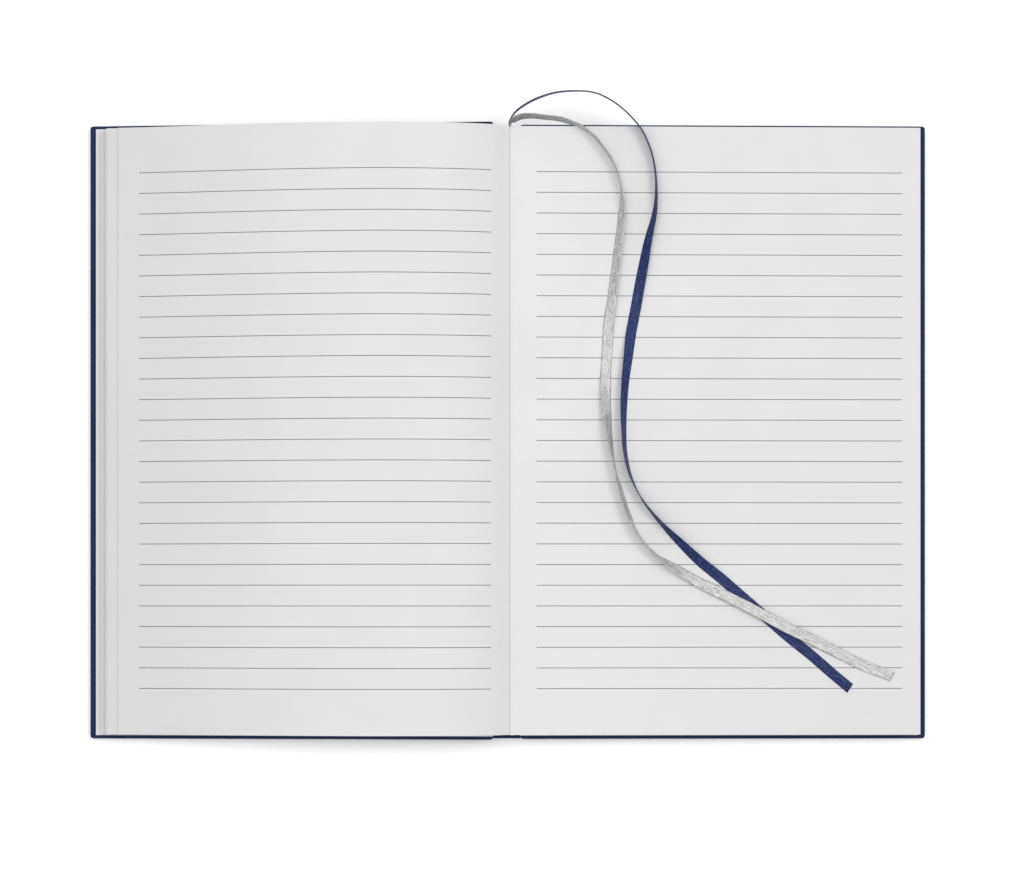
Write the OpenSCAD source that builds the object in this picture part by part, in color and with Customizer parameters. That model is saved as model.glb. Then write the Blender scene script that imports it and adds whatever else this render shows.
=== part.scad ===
// Case-bound ruled logbook, lying open near its middle, with two bookmark ribbons.
// Millimetres. X runs across the spread, Y from tail to head, Z up from the desk.

/* [Cover] */
// Height of the cover, tail to head
cover_h = 210; // [200:1:220]
// Width of each cover board, joint to fore-edge
board_w = 138.7; // [130:0.1:145]
// Thickness of the cover board's core
core_t = 1.6; // [1.2:0.1:2.4]
// Thickness of the covering material
wrap_t = 0.25; // [0.2:0.05:0.4]
// Width of the turned-in edge on the inner face
turn_in = 15; // [10:1:20]
// Corner radius of the cover
corner_r = 1; // [0.5:0.1:3]

/* [Lie of the open book] */
// Height of the front board's joint edge above the desk
front_lift = 6.35; // [5:0.05:8]
// Height of the back board's joint edge above the desk
back_lift = 2.4; // [2.2:0.05:4]
// Distance of the front board's joint edge from the middle
front_edge_x = 4.5; // [4:0.1:6]
// Distance of the back board's joint edge from the middle
back_edge_x = 4.4; // [4:0.1:6]
// Sideways place of the gutter
gutter_x = 0.9; // [0:0.1:1.5]
// Height of the front leaves at the gutter
gutter_z = 9.9; // [9:0.1:11]
// Rise of the sprung front leaves above their flat lie
bulge_h = 4.2; // [0:0.1:5]

/* [Text block] */
// Height of a leaf
page_h = 206; // [196:1:216]
// Thickness of one leaf
leaf_t = 0.1; // [0.08:0.01:0.12]
// Leaves in one signature
leaves_per_signature = 8; // [4:2:16]
// Thickness of an endpaper
endpaper_t = 0.15; // [0.12:0.01:0.2]
// Clearance under each leaf that turns
turn_gap = 0.04; // [0.02:0.01:0.08]
// Reach of the back leaves, gutter to fore-edge
back_reach = 139.4; // [130:0.1:140]

/* [Ribbons] */
// Width of a bookmark ribbon
ribbon_w = 3.2; // [2:0.1:5]
// Thickness of a ribbon's plain solid
ribbon_t = 0.8; // [0.5:0.1:1]

/* [Hidden] */

navy = [0.11, 0.15, 0.29];
grey_card = [0.62, 0.6, 0.56];
paper = [0.93, 0.93, 0.92];
endpaper = [0.9, 0.9, 0.89];
linen = [0.86, 0.83, 0.76];
silver = [0.72, 0.72, 0.71];

board_t = core_t + 2 * wrap_t;
front_slope = asin(front_lift / board_w);
back_slope = asin(back_lift / board_w);
signature_t = leaves_per_signature * leaf_t;
leaf_pitch = leaf_t + turn_gap;
turning_leaves = 3;
paper_gap = 0.01;

// the front stack, bottom to top: flyleaf, five signatures, one leaf, three turning leaves
front_full = 5;
front_last = endpaper_t + front_full * signature_t;
front_stack = front_last + leaf_t + turning_leaves * leaf_pitch;
// the back stack, bottom to top: flyleaf, six signatures, half of the opened one
back_full = 6;
back_last = endpaper_t + back_full * signature_t;
back_stack = back_last + signature_t / 2;

// how far the leaves stand back from the edges of the boards
pastedown_inset = 1.2;
pastedown_fore = 2.3;
fold_x = 0.3;
turn_x = 0.9;
front_fold_z = 7;
fold_stack = 2.9;
front_fore = [139.7, 139.5, 137.9, 137.7, 134.2, 134];

// the sprung leaves rise from bulge_start, are highest at bulge_top and lie flat at bulge_end
bulge_start = 8;
bulge_top = 52;
bulge_end = 134;
swell_w = 16;
dip_w = 7;
dip_h = 0.4;

strip_w = 12.6;
strip_t = 1;
spine_w = 13.4;
cloth_t = 0.35;
cloth_inset = 0.5;
front_cloth_path = [[-6.9, 0.7], [-7.2, 2], [-6.9, 3.6], [-6, 5], [-4.9, 5.95]];
back_cloth_path = [[6.9, 0.7], [7.5, 0.9], [7.7, 1.35], [7.3, 1.8], [6.4, 1.95], [4.9, 1.95]];

lining_t = 0.2;
band_r = 0.6;
stitch_count = 6;
stitch_l = 16;
stitch_pitch = 34;
stitch_r = 0.18;

// each ribbon's route: x, y and the height above the plane of the back page
blue_route = [
    [1, 104.9, -0.6], [3, 107.5, 0.8], [6.5, 109.8, 2], [10.5, 111.5, 3.2], [16, 113, 4.2],
    [22.5, 113.5, 4.8], [29.5, 113, 4.6], [35.5, 110.5, 3.8], [41, 106.5, 2.6],
    [45.5, 101.5, 1.4], [48.5, 95, 0.8], [50, 88.5, 0.6], [50.5, 81.5, 0.55],
    [50, 73.5, 0.55], [48, 65, 0.55], [46.5, 57, 0.55], [45, 49, 0.55], [43.5, 40.5, 0.55],
    [42, 32.5, 0.55], [41, 24.5, 0.55], [40, 16.5, 0.55], [39.5, 8, 0.55], [39.5, 0, 0.55],
    [40, -8, 0.55], [42, -16, 0.55], [46, -24, 0.55], [52, -31.5, 0.55], [58.5, -38, 0.55],
    [65.5, -44.5, 0.55], [73, -50.5, 0.55], [80.5, -57, 0.55], [88, -63.5, 0.55],
    [95.5, -70, 0.55], [103, -76, 0.55], [110.5, -82.5, 0.55], [116.5, -87.5, 0.55]
];
silver_route = [
    [1.5, 104.9, -1.9], [4.5, 106.3, -1], [8.5, 106.4, 0], [13, 105.8, 0.7], [18.5, 105, 1],
    [24, 103, 1], [29, 99.5, 0.8], [33, 95, 0.6], [36.5, 89.5, 0.55], [38.5, 83, 0.55],
    [39, 76, 0.55], [38.5, 68.5, 0.55], [37.5, 60.5, 0.55], [36.5, 52, 0.55],
    [35.5, 44, 0.55], [34.5, 36, 0.55], [34, 28, 0.55], [33.5, 19.5, 0.55],
    [33.5, 11.5, 0.55], [34, 3.5, 0.55], [35, -4.5, 0.55], [36.5, -13, 0.55],
    [38.5, -20.5, 0.55], [41, -28.5, 0.55], [44.5, -35.5, 0.55], [50, -42, 0.6],
    [57.5, -47, 0.7], [65, -51.5, 0.9], [73, -55.5, 1.3], [81, -59.5, 1.6],
    [88.5, -63.5, 1.7], [96, -67.5, 1.6], [103.5, -71, 1.2], [111.5, -75, 0.8],
    [120.5, -79.5, 0.6], [131, -83.5, 0.55]
];

// ---- surfaces of the open book, as heights over x measured from the gutter ----

// where the front leaves lie: on the board, then down from its edge to the folds
function front_face(x) =
    let (edge = -front_edge_x - gutter_x,
         top = front_lift + board_t / cos(front_slope) + endpaper_t + 0.06)
    x <= edge ? top + (x - edge) * tan(front_slope)
              : top + (x - edge) / (-fold_x - edge) * (front_fold_z - top);

// thickness of the whole front stack, pinched towards the folds
function front_thickness(x) =
    fold_stack + (front_stack - fold_stack) * sin(90 * min(1, (-x - fold_x) / swell_w));

function bulge(x) =
    -x < bulge_start || -x > bulge_end ? 0
    : -x < bulge_top ? bulge_h * sin(90 * (-x - bulge_start) / (bulge_top - bulge_start))
    : bulge_h * pow(cos(90 * (-x - bulge_top) / (bulge_end - bulge_top)), 1.4);

// height of the level that has "below" millimetres of paper under it
function front_level(x, below) =
    front_face(x) + below / front_stack * (front_thickness(x) + bulge(x));

function back_face(x) =
    back_lift + board_t / cos(back_slope) + endpaper_t + 0.06
    - (x - back_edge_x + gutter_x) * tan(back_slope);

function back_dip(x) = dip_h * (1 - sin(90 * min(1, x / dip_w)));

function back_level(x, below) = back_face(x) + below - back_dip(x) * below / back_stack;

function page_plane(x) = back_face(x - gutter_x) + back_stack;

// stations along a leaf: even up to the board's edge, then opening out
function stations(start, fore) =
    let (edge = front_edge_x + gutter_x)
    concat([for (k = [0:4]) start + (edge - start) * k / 5],
           [for (k = [0:24]) edge + (fore - edge) * pow(k / 24, 1.3)]);

function reversed(list) = [for (i = [len(list) - 1:-1:0]) list[i]];

// ---- shapes used by more than one piece ----

// a section in the XZ plane drawn out along Y, evenly about the middle
module drawn_out(length) {
    translate([0, length / 2, 0])
        rotate([90, 0, 0])
            linear_extrude(length)
                children();
}

module front_sheet(low, high, start, fore) {
    xs = stations(start, fore);
    translate([gutter_x, 0, 0])
        drawn_out(page_h)
            polygon(concat(
                [for (x = xs) [-x, front_level(-x, low) + paper_gap]],
                [for (x = reversed(xs)) [-x, front_level(-x, high) - paper_gap]]));
}

module back_sheet(low, high, start) {
    xs = [for (k = [0:6]) start + (dip_w - start) * k / 6];
    translate([gutter_x, 0, 0])
        drawn_out(page_h)
            polygon(concat(
                [for (x = concat(xs, [back_reach])) [x, back_level(x, low) + paper_gap]],
                [for (x = concat([back_reach], reversed(xs))) [x, back_level(x, high) - paper_gap]]));
}

// puts a board's own frame, joint edge at x = 0 and inner face up, into its place
module on_front() {
    translate([-front_edge_x, 0, front_lift])
        rotate([0, -front_slope, 0])
            mirror([1, 0, 0])
                children();
}

module on_back() {
    translate([back_edge_x, 0, back_lift])
        rotate([0, back_slope, 0])
            children();
}

module plate(x0, x1, width, t, r) {
    linear_extrude(t) {
        translate([x0, -width / 2 + r])
            square([x1 - x0, width - 2 * r]);
        translate([x0 + r, -width / 2])
            square([x1 - x0 - 2 * r, width]);
        for (x = [x0 + r, x1 - r], y = [-width / 2 + r, width / 2 - r])
            translate([x, y])
                circle(r = r, $fn = 32);
    }
}

module turn_in_window(t) {
    translate([turn_in, -cover_h / 2 + turn_in, board_t - wrap_t])
        cube([board_w - 2 * turn_in, cover_h - 2 * turn_in, t]);
}

module board_core() {
    translate([wrap_t, -cover_h / 2 + wrap_t, wrap_t])
        cube([board_w - 2 * wrap_t, cover_h - 2 * wrap_t, core_t]);
    turn_in_window(wrap_t);
}

module board_wrap() {
    difference() {
        plate(0, board_w, cover_h, board_t, corner_r);
        translate([wrap_t, -cover_h / 2 + wrap_t, wrap_t])
            cube([board_w - 2 * wrap_t, cover_h - 2 * wrap_t, core_t]);
        turn_in_window(1);
    }
}

module pastedown() {
    translate([0.2, -cover_h / 2 + pastedown_inset, board_t])
        cube([board_w - pastedown_fore - 0.2, cover_h - 2 * pastedown_inset, endpaper_t]);
}

// a strip of even thickness along a path in the XZ plane
module strip_2d(path, t) {
    last = len(path) - 1;
    normals = [for (i = [0:last])
        let (d = path[min(i + 1, last)] - path[max(i - 1, 0)])
        [-d[1], d[0]] / norm(d)];
    polygon(concat(
        [for (i = [0:last]) path[i] + normals[i] * t / 2],
        [for (i = [last:-1:0]) path[i] - normals[i] * t / 2]));
}

// a flat eight-sided ribbon swept along its route
module ribbon(route) {
    sides = 8;
    last = len(route) - 1;
    centre = [for (p = route) [p[0], p[1], page_plane(p[0]) + p[2]]];
    tangent = [for (i = [0:last])
        let (d = centre[min(i + 1, last)] - centre[max(i - 1, 0)]) d / norm(d)];
    points = [for (i = [0:last], k = [0:sides - 1])
        let (across = cross([0, 0, 1], tangent[i]),
             side = across / norm(across),
             up = cross(tangent[i], side),
             a = 360 * (k + 0.5) / sides)
        centre[i] + side * cos(a) * ribbon_w / 2 + up * sin(a) * ribbon_t / 2];
    faces = concat(
        [[for (k = [0:sides - 1]) k]],
        [[for (k = [sides - 1:-1:0]) last * sides + k]],
        [for (i = [0:last - 1], k = [0:sides - 1])
            let (a = i * sides + k, b = i * sides + (k + 1) % sides)
            [a, a + sides, b + sides, b]]);
    polyhedron(points, faces);
}

// ---- spine ----

module spine_strip() {
    color(grey_card)
        translate([-strip_w / 2, -cover_h / 2 + wrap_t, wrap_t])
            cube([strip_w, cover_h - 2 * wrap_t, strip_t]);
}

module spine_cover() {
    color(navy)
        difference() {
            plate(-spine_w / 2, spine_w / 2, cover_h, strip_t + 2 * wrap_t, 0.5);
            translate([-strip_w / 2, -cover_h / 2 + wrap_t, wrap_t])
                cube([strip_w, cover_h - 2 * wrap_t, strip_t]);
        }
}

module front_joint_cloth() {
    color(navy)
        drawn_out(cover_h - 2 * cloth_inset)
            strip_2d(front_cloth_path, cloth_t);
}

module back_joint_cloth() {
    color(navy)
        drawn_out(cover_h - 2 * cloth_inset)
            strip_2d(back_cloth_path, cloth_t);
}

// ---- front half ----

module front_board() { color(grey_card) on_front() board_core(); }
module front_cover() { color(navy) on_front() board_wrap(); }
module front_pastedown() { color(endpaper) on_front() pastedown(); }
module front_flyleaf() { color(endpaper) front_sheet(0, endpaper_t, fold_x, front_fore[0]); }

// counted up from the board, 1 to 5
module front_signature(i) {
    low = endpaper_t + (i - 1) * signature_t;
    color(paper)
        front_sheet(low, low + signature_t, fold_x, front_fore[i - 1]);
}

module signature_06_front() {
    color(paper)
        front_sheet(front_last, front_last + leaf_t, fold_x, front_fore[front_full]);
}

// counted down from the top of the stack, 1 to 3
module turning_leaf(i) {
    high = front_stack - (i - 1) * leaf_pitch;
    color(paper)
        front_sheet(high - leaf_t, high, turn_x, front_fore[front_full]);
}

module front_lining() {
    color(linen)
        translate([gutter_x - fold_x + paper_gap, -page_h / 2, front_fold_z])
            cube([lining_t, page_h, fold_stack - 1]);
}

// ---- back half ----

module back_board() { color(grey_card) on_back() board_core(); }
module back_cover() { color(navy) on_back() board_wrap(); }
module back_pastedown() { color(endpaper) on_back() pastedown(); }
module back_flyleaf() { color(endpaper) back_sheet(0, endpaper_t, fold_x); }

// counted from the top of the stack down to the board, 7 to 12
module back_signature(i) {
    low = endpaper_t + (leaves_per_signature + 4 - i) * signature_t;
    color(paper)
        back_sheet(low, low + signature_t, fold_x);
}

module signature_06_back() { color(paper) back_sheet(back_last, back_stack, fold_x); }

module back_lining() {
    color(linen)
        translate([gutter_x + fold_x - paper_gap - lining_t, -page_h / 2, back_level(0, 0)])
            cube([lining_t, page_h, back_stack - 1.4]);
}

module band(y) {
    color(linen)
        translate([gutter_x + fold_x + band_r, y, back_level(0, 0)])
            cylinder(r = band_r, h = back_stack - 2.6, $fn = 24);
}

module head_band() { band(page_h / 2 + band_r + paper_gap); }
module tail_band() { band(-page_h / 2 - band_r - paper_gap); }

module sewing_thread() {
    first = -stitch_pitch * (stitch_count - 1) / 2;
    color(paper)
        for (i = [0:stitch_count - 1])
            translate([gutter_x, first + i * stitch_pitch + stitch_l / 2, gutter_z - 0.6])
                rotate([90, 0, 0])
                    cylinder(r = stitch_r, h = stitch_l, $fn = 16);
}

module ribbon_blue() { color(navy) ribbon(blue_route); }
module ribbon_silver() { color(silver) ribbon(silver_route); }

spine_strip();
spine_cover();
front_joint_cloth();
back_joint_cloth();
front_board();
front_cover();
front_pastedown();
front_flyleaf();
front_signature(1);  // signature_01
front_signature(2);  // signature_02
front_signature(3);  // signature_03
front_signature(4);  // signature_04
front_signature(5);  // signature_05
signature_06_front();
turning_leaf(1);  // leaf_1
turning_leaf(2);  // leaf_2
turning_leaf(3);  // leaf_3
front_lining();
back_board();
back_cover();
back_pastedown();
back_flyleaf();
signature_06_back();
back_signature(7);  // signature_07
back_signature(8);  // signature_08
back_signature(9);  // signature_09
back_signature(10);  // signature_10
back_signature(11);  // signature_11
back_signature(12);  // signature_12
back_lining();
head_band();
tail_band();
sewing_thread();
ribbon_blue();
ribbon_silver();
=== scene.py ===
import bmesh
import bpy
import math
from mathutils import Matrix, Vector


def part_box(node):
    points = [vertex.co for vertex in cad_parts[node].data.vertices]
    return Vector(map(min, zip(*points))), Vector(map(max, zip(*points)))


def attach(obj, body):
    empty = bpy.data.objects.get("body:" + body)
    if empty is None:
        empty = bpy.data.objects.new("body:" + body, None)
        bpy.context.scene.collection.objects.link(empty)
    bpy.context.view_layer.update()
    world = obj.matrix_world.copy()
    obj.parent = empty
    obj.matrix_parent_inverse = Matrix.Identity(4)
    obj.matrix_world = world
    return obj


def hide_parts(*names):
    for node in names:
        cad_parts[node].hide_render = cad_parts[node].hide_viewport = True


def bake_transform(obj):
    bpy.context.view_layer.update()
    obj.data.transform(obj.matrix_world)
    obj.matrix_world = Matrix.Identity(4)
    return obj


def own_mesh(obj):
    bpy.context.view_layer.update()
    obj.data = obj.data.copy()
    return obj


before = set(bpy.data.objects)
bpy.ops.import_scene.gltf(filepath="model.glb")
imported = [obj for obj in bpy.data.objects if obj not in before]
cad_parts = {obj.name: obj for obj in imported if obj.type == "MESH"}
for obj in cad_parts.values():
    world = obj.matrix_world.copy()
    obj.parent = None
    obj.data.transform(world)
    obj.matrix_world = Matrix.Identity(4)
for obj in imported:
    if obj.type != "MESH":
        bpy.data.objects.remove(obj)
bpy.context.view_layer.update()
mm = 0.001
print("frame loaded:", len(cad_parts), "nodes")


def addMesh(name, points, faces, smooth=True):
    mesh = bpy.data.meshes.new(name)
    mesh.from_pydata([tuple(p) for p in points], [], faces)
    mesh.validate()
    mesh.polygons.foreach_set("use_smooth", [smooth] * len(mesh.polygons))
    piece = bpy.data.objects.new(name, mesh)
    bpy.context.scene.collection.objects.link(piece)
    return piece


def addNode(tree, kind, values=None, **settings):
    node = tree.nodes.new(kind)
    for key, value in settings.items():
        setattr(node, key, value)
    for key, value in (values or {}).items():
        node.inputs[key].default_value = value
    return node


def addSockets(tree, inputs, outputs):
    # each socket is its name, its kind and, for an input with one, its first value
    for direction, sockets in (("INPUT", inputs), ("OUTPUT", outputs)):
        for name, kind, *value in sockets:
            socket = tree.interface.new_socket(name=name, in_out=direction,
                                               socket_type="NodeSocket" + kind)
            if value:
                socket.default_value = value[0]


def mathNode(tree, operation, first, second=None, clamp=False):
    node = addNode(tree, "ShaderNodeMath", operation=operation, use_clamp=clamp)
    for socket, value in zip(node.inputs, (first, second)):
        if value is None:
            continue
        if isinstance(value, (int, float)):
            socket.default_value = value
        else:
            tree.links.new(value, socket)
    return node.outputs[0]


def setInput(modifier, name, value):
    for item in modifier.node_group.interface.items_tree:
        if item.item_type == "SOCKET" and item.in_out == "INPUT" and item.name == name:
            modifier[item.identifier] = value
            return
    raise KeyError(name)


def growPiece(piece, tree, inputs):
    modifier = piece.modifiers.new(tree.name, "NODES")
    modifier.node_group = tree
    for name, value in inputs.items():
        setInput(modifier, name, value)
    evaluated = piece.evaluated_get(bpy.context.evaluated_depsgraph_get())
    grown = bpy.data.meshes.new_from_object(evaluated)
    piece.modifiers.remove(modifier)
    old = piece.data
    piece.data = grown
    grown.name = piece.name
    bpy.data.meshes.remove(old)


def smoothLine(points, steps):
    # a rounded line through the points; a point may have any number of values
    line = []
    last = len(points) - 1
    for i in range(last):
        a, b, c, d = (points[max(i - 1, 0)], points[i], points[i + 1], points[min(i + 2, last)])
        for k in range(steps):
            t = k / steps
            line.append([0.5 * (2 * q + (r - p) * t + (2 * p - 5 * q + 4 * r - s) * t * t
                                + (3 * q - p - 3 * r + s) * t ** 3)
                         for p, q, r, s in zip(a, b, c, d)])
    line.append(list(points[last]))
    return line


cameraValues = dict(place=(1.75 * mm, -56.5 * mm, 602 * mm), lens=61.5, sensor=36, shiftY=0.148,
                    clip=(0.01, 20))
cameraData = bpy.data.cameras.new("camera")
cameraData.lens = cameraValues["lens"]
cameraData.sensor_width = cameraValues["sensor"]
cameraData.shift_y = cameraValues["shiftY"]
cameraData.clip_start, cameraData.clip_end = cameraValues["clip"]
camera = bpy.data.objects.new("camera", cameraData)
camera.location = cameraValues["place"]
bpy.context.scene.collection.objects.link(camera)
bpy.context.scene.camera = camera


def shaderGroup(name, inputs, outputs):
    tree = bpy.data.node_groups.new(name, "ShaderNodeTree")
    addSockets(tree, inputs, outputs)
    return tree, tree.links.new, addNode(tree, "NodeGroupInput"), addNode(tree, "NodeGroupOutput")


def makeGrainGroup():
    # fine surface grain: Mottle is a slow change of tone, Height is the fine relief
    tree, link, given, result = shaderGroup(
        "surfaceGrain",
        [("Vector", "Vector"), ("Grain scale", "Float", 4000.0),
         ("Mottle scale", "Float", 60.0)],
        [("Height", "Float"), ("Mottle", "Float")])
    fine = addNode(tree, "ShaderNodeTexNoise", {"Detail": 4.0, "Roughness": 0.62})
    slow = addNode(tree, "ShaderNodeTexNoise", {"Detail": 3.0, "Roughness": 0.55})
    for node, scale in ((fine, "Grain scale"), (slow, "Mottle scale")):
        link(given.outputs["Vector"], node.inputs["Vector"])
        link(given.outputs[scale], node.inputs["Scale"])
    link(fine.outputs["Fac"], result.inputs["Height"])
    link(slow.outputs["Fac"], result.inputs["Mottle"])
    return tree


def makeHideGroup():
    # the pebbled grain of a pressed covering material
    tree, link, given, result = shaderGroup(
        "pressedHide",
        [("Vector", "Vector"), ("Pebble scale", "Float", 1500.0)],
        [("Height", "Float"), ("Crease", "Float")])
    bend = addNode(tree, "ShaderNodeTexNoise", {"Scale": 500.0, "Detail": 2.0})
    link(given.outputs["Vector"], bend.inputs["Vector"])
    wander = (0.7 * mm, 0.7 * mm, 0.7 * mm)  # how far the pebbles stray from an even pattern
    mix = addNode(tree, "ShaderNodeVectorMath", {1: wander}, operation="MULTIPLY_ADD")
    link(bend.outputs["Color"], mix.inputs[0])
    link(given.outputs["Vector"], mix.inputs[2])
    cells = addNode(tree, "ShaderNodeTexVoronoi", feature="DISTANCE_TO_EDGE")
    link(mix.outputs[0], cells.inputs["Vector"])
    link(given.outputs["Pebble scale"], cells.inputs["Scale"])
    rise = addNode(tree, "ShaderNodeMapRange", {"From Min": 0.0, "From Max": 0.28})
    rise.interpolation_type = "SMOOTHSTEP"
    link(cells.outputs["Distance"], rise.inputs["Value"])
    link(rise.outputs["Result"], result.inputs["Height"])
    # the second output, one minus the pebble rise, is used as painted shade in the creases between
    # pebbles
    link(mathNode(tree, "SUBTRACT", 1.0, rise.outputs["Result"]), result.inputs["Crease"])
    return tree


def makeWearGroup():
    # where corners and edges have been rubbed
    tree, link, given, result = shaderGroup(
        "edgeWear",
        [("Vector", "Vector"), ("Start", "Float", 0.54),
         ("End", "Float", 0.62)],
        [("Mask", "Float")])
    geometry = addNode(tree, "ShaderNodeNewGeometry")
    edge = addNode(tree, "ShaderNodeMapRange")
    link(geometry.outputs["Pointiness"], edge.inputs["Value"])
    link(given.outputs["Start"], edge.inputs["From Min"])
    link(given.outputs["End"], edge.inputs["From Max"])
    patch = addNode(tree, "ShaderNodeTexNoise", {"Scale": 260.0, "Detail": 4.0})
    link(given.outputs["Vector"], patch.inputs["Vector"])
    rub = addNode(tree, "ShaderNodeMapRange", {"From Min": 0.42, "From Max": 0.66})
    link(patch.outputs["Fac"], rub.inputs["Value"])
    mask = mathNode(tree, "MULTIPLY", edge.outputs["Result"], rub.outputs["Result"])
    link(mask, result.inputs["Mask"])
    return tree


def makeRulingGroup():
    # evenly spaced lines across the page, inside the margins
    tree, link, given, result = shaderGroup(
        "ruling",
        [("Vector", "Vector"), ("Pitch", "Float", 7 * mm),
         ("Line width", "Float", 0.3 * mm), ("Soft edge", "Float", 0.05 * mm),
         ("Half height", "Float", 88.5 * mm), ("Middle x", "Float", 0.0),
         ("Half length", "Float", 60 * mm)],
        [("Mask", "Float")])
    split = addNode(tree, "ShaderNodeSeparateXYZ")
    link(given.outputs["Vector"], split.inputs[0])
    x, y = split.outputs["X"], split.outputs["Y"]
    turns = mathNode(tree, "DIVIDE", y, given.outputs["Pitch"])
    offset = mathNode(tree, "SUBTRACT", mathNode(tree, "FRACT", turns), 0.5)
    near = mathNode(tree, "MULTIPLY", mathNode(tree, "ABSOLUTE", offset), given.outputs["Pitch"])
    half = mathNode(tree, "MULTIPLY", given.outputs["Line width"], 0.5)
    inside = mathNode(tree, "SUBTRACT", half, near)
    line = mathNode(tree, "DIVIDE", inside, given.outputs["Soft edge"], clamp=True)
    high = mathNode(tree, "ABSOLUTE", y)
    inHeight = mathNode(tree, "LESS_THAN", high, given.outputs["Half height"])
    across = mathNode(tree, "ABSOLUTE", mathNode(tree, "SUBTRACT", x, given.outputs["Middle x"]))
    inLength = mathNode(tree, "LESS_THAN", across, given.outputs["Half length"])
    mask = mathNode(tree, "MULTIPLY", line, mathNode(tree, "MULTIPLY", inHeight, inLength))
    link(mask, result.inputs["Mask"])
    return tree


weaveValues = dict(stagger=0.4, warpCrown=0.6, weftCrown=0.35, streakScale=(9.0, 0.5, 1.0))


def makeWeaveGroup():
    # narrow woven satin, on a UV that runs 0 to 1 across and in ribbon widths along
    tree, link, given, result = shaderGroup(
        "satinWeave",
        [("Vector", "Vector"), ("Threads across", "Float", 12.0), ("Threads along", "Float", 9.0)],
        [("Height", "Float"), ("Shade", "Float"), ("Glint", "Float")])
    split = addNode(tree, "ShaderNodeSeparateXYZ")
    link(given.outputs["Vector"], split.inputs[0])
    u, v = split.outputs["X"], split.outputs["Y"]
    warp = mathNode(tree, "MULTIPLY", u, given.outputs["Threads across"])
    # each warp thread floats over several wefts, stepped from thread to thread
    step = mathNode(tree, "MULTIPLY", mathNode(tree, "FLOOR", warp), weaveValues["stagger"])
    weft = mathNode(tree, "ADD", mathNode(tree, "MULTIPLY", v, given.outputs["Threads along"]), step)

    def crown(threads, power):
        turn = mathNode(tree, "MULTIPLY", mathNode(tree, "FRACT", threads), math.pi)
        return mathNode(tree, "POWER", mathNode(tree, "SINE", turn), power)

    height = mathNode(tree, "MULTIPLY", crown(warp, weaveValues["warpCrown"]),
                      crown(weft, weaveValues["weftCrown"]))
    link(height, result.inputs["Height"])
    long = addNode(tree, "ShaderNodeMapping", {"Scale": weaveValues["streakScale"]})
    link(given.outputs["Vector"], long.inputs["Vector"])
    streak = addNode(tree, "ShaderNodeTexNoise", {"Scale": 1.6, "Detail": 5.0, "Roughness": 0.7})
    link(long.outputs[0], streak.inputs["Vector"])
    link(streak.outputs["Fac"], result.inputs["Shade"])
    cell = addNode(tree, "ShaderNodeCombineXYZ")
    link(mathNode(tree, "FLOOR", warp), cell.inputs["X"])
    link(mathNode(tree, "FLOOR", weft), cell.inputs["Y"])
    glint = addNode(tree, "ShaderNodeTexWhiteNoise", noise_dimensions="2D")
    link(cell.outputs[0], glint.inputs["Vector"])
    link(glint.outputs["Value"], result.inputs["Glint"])
    return tree


grainGroup = makeGrainGroup()
hideGroup = makeHideGroup()
wearGroup = makeWearGroup()
rulingGroup = makeRulingGroup()
weaveGroup = makeWeaveGroup()
print("shader groups made")


def startMaterial(name, specular):
    material = bpy.data.materials.new(name)
    material.use_nodes = True
    tree = material.node_tree
    shader = tree.nodes["Principled BSDF"]
    shader.inputs["Specular IOR Level"].default_value = specular
    place = addNode(tree, "ShaderNodeTexCoord")
    return material, tree, tree.links.new, shader, place


def useGroup(tree, group, vector, values=None):
    node = addNode(tree, "ShaderNodeGroup", node_tree=group)
    tree.links.new(vector, node.inputs["Vector"])
    for key, value in (values or {}).items():
        node.inputs[key].default_value = value
    return node


def blendColours(tree, factor, first, second):
    mix = addNode(tree, "ShaderNodeMix", data_type="RGBA")
    for socket, value in ((mix.inputs[0], factor), (mix.inputs[6], first), (mix.inputs[7], second)):
        if isinstance(value, (int, float)):
            socket.default_value = value
        elif isinstance(value, tuple):
            socket.default_value = value + (1.0,)
        else:
            tree.links.new(value, socket)
    return mix.outputs[2]


midRange = (0.35, 0.65)  # the part of a noise's range that most of its values fall in


def spreadValue(tree, value, wanted, found=(0.0, 1.0)):
    node = addNode(tree, "ShaderNodeMapRange", {"From Min": found[0], "From Max": found[1],
                                                "To Min": wanted[0], "To Max": wanted[1]})
    tree.links.new(value, node.inputs["Value"])
    return node.outputs["Result"]


def addBump(tree, shader, height, distance, strength=1.0):
    bump = addNode(tree, "ShaderNodeBump", {"Strength": strength, "Distance": distance})
    tree.links.new(height, bump.inputs["Height"])
    tree.links.new(bump.outputs["Normal"], shader.inputs["Normal"])


paperValues = dict(light=(0.660, 0.655, 0.657), dark=(0.645, 0.640, 0.643),
                   ink=(0.150, 0.150, 0.155), specular=0.25, roughness=(0.72, 0.86), grain=3200.0,
                   mottle=45.0, fibre=0.16, fibreTone=0.9, relief=0.010 * mm)


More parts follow.
